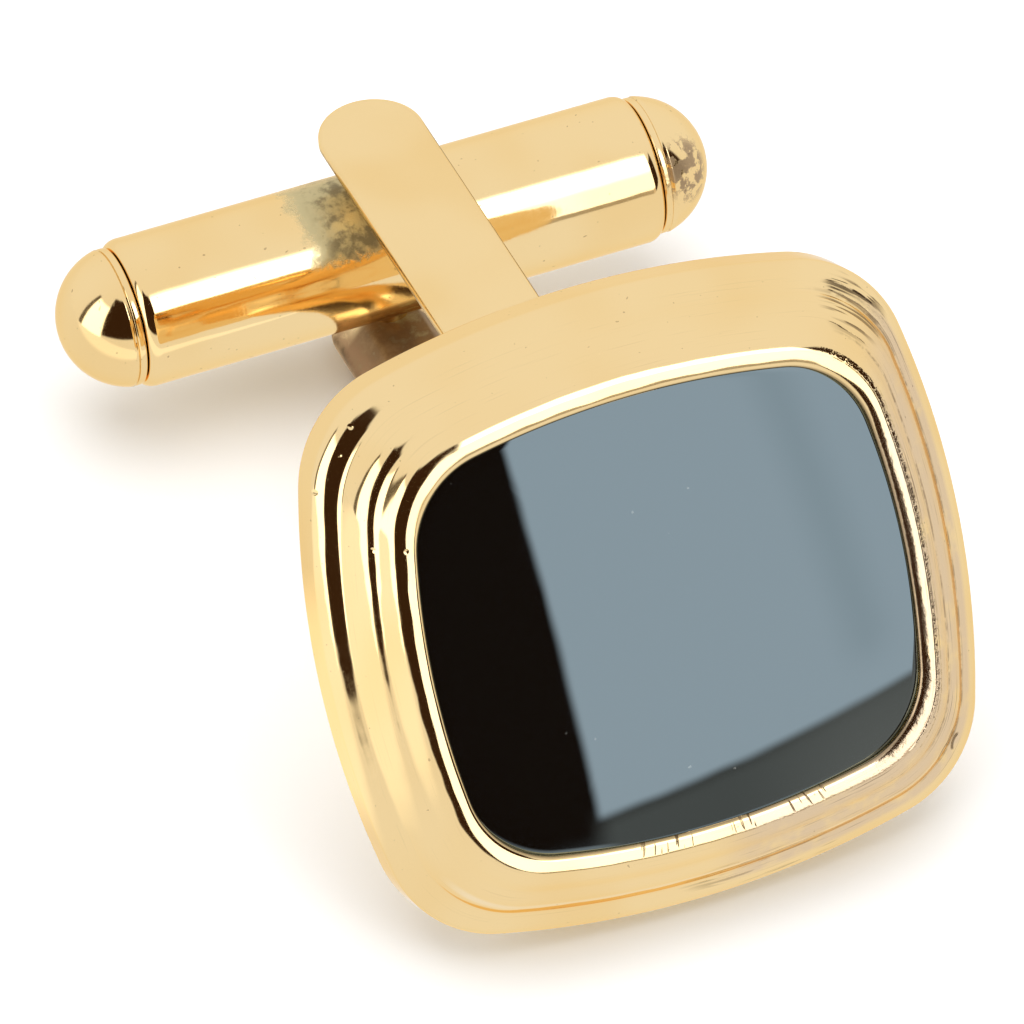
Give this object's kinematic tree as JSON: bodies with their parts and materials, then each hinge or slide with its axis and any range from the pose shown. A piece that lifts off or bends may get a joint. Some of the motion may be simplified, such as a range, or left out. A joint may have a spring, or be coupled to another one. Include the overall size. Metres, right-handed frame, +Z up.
{
  "type": "cufflink",
  "caption": "Gold-coloured cufflink: stepped cushion-shaped frame round a black domed stone, with a forked post and a swivelling bullet toggle that locks it through a shirt cuff.",
  "frame": {"origin": "on the surface that the cufflink lies on, at the middle of its bounding box's base", "axes": "+Z up from that surface; X along the toggle; -Y is the side that the face looks to, leaning back, and the toggle is on the +Y side"},
  "size_m": [0.0186, 0.0256, 0.0145],
  "materials": {
    "gold_face": "polished gold plate, lightly scratched and tarnished in the steps",
    "gold_toggle": "polished gold plate, lightly scratched",
    "black_stone": "polished opaque black stone"
  },
  "bodies": {
    "face": {"face_frame": "gold_face", "stone": "black_stone", "pivot_pin": "gold_toggle"},
    "toggle": {"toggle_barrel": "gold_toggle", "toggle_cap_left": "gold_toggle", "toggle_cap_right": "gold_toggle"}
  },
  "joints": [
    {"name": "toggle_swivel", "type": "hinge", "parent": "face", "child": "toggle", "pos_m": [0, 0.01063, 0.00382], "axis": [0, 0.1066, 0.9943], "range_deg": [-90, 90]}
  ]
}
